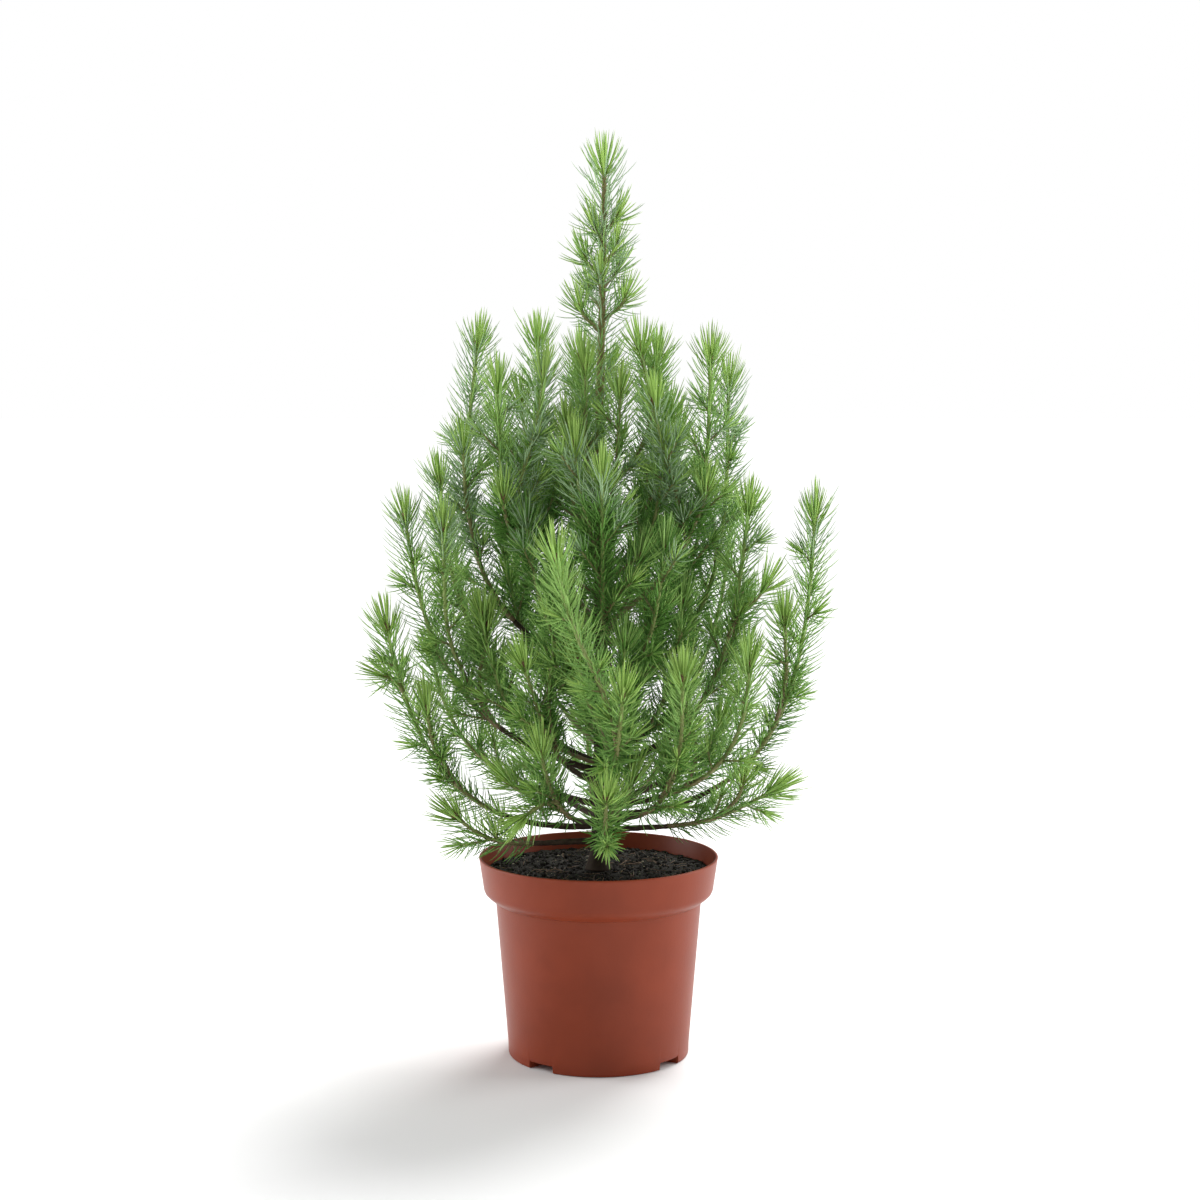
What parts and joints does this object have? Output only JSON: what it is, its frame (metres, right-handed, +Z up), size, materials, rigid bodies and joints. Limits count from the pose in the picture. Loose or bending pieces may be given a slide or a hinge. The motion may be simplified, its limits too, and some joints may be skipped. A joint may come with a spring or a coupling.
{
  "type": "potted stone pine",
  "caption": "Young stone pine with a pointed leader and upswept shoots of short juvenile needles, in a round plastic nursery pot filled with peat.",
  "frame": {"origin": "centre of the pot's flat underside, on the surface it stands on", "axes": "+Z up the trunk, -Y towards the front of the plant as pictured, +X to the viewer's right"},
  "size_m": [0.2622, 0.2394, 0.5005],
  "materials": {
    "pot_plastic": "satin",
    "peat": "crumbly, matt",
    "bark": "rough bark",
    "needles": "soft, slightly waxy"
  },
  "bodies": {
    "root": {"pot": "pot_plastic", "soil": "peat", "trunk": "bark", "bough_low_left": "bark", "bough_lowest_left": "bark", "bough_front_left_low": "bark", "bough_front_low": "bark", "bough_front_right_low": "bark", "bough_lowest_right": "bark", "bough_low_right": "bark", "bough_low_right_back": "bark", "bough_low_back_right": "bark", "bough_low_back": "bark", "bough_low_back_left": "bark", "bough_low_left_back": "bark", "bough_front_mid": "bark", "bough_right_mid": "bark", "bough_right_upper_mid": "bark", "bough_right_back_mid": "bark", "bough_left_back_mid": "bark", "bough_left_mid": "bark", "bough_front_left_mid": "bark", "bough_left_upper": "bark", "mass_low_left": "needles", "mass_lowest_left": "needles", "mass_front_left_low": "needles", "mass_front_low": "needles", "mass_front_right_low": "needles", "mass_lowest_right": "needles", "mass_low_right": "needles", "mass_low_right_back": "needles", "mass_low_back_right": "needles", "mass_low_back": "needles", "mass_low_back_left": "needles", "mass_low_left_back": "needles", "mass_front_mid": "needles", "mass_right_mid": "needles", "mass_right_upper_mid": "needles", "mass_right_back_mid": "needles", "mass_left_back_mid": "needles", "mass_left_mid": "needles", "mass_front_left_mid": "needles", "mass_left_upper": "needles", "mass_back_right_mid": "needles", "mass_back_mid": "needles", "mass_back_left_mid": "needles", "mass_left_front_top": "needles", "mass_front_upper": "needles", "mass_right_top": "needles", "mass_right_back_top": "needles", "mass_back_right_top": "needles", "mass_back_left_top": "needles", "mass_front_lateral": "needles", "mass_right_lateral": "needles", "mass_back_lateral": "needles", "mass_leader": "needles"}
  },
  "joints": []
}
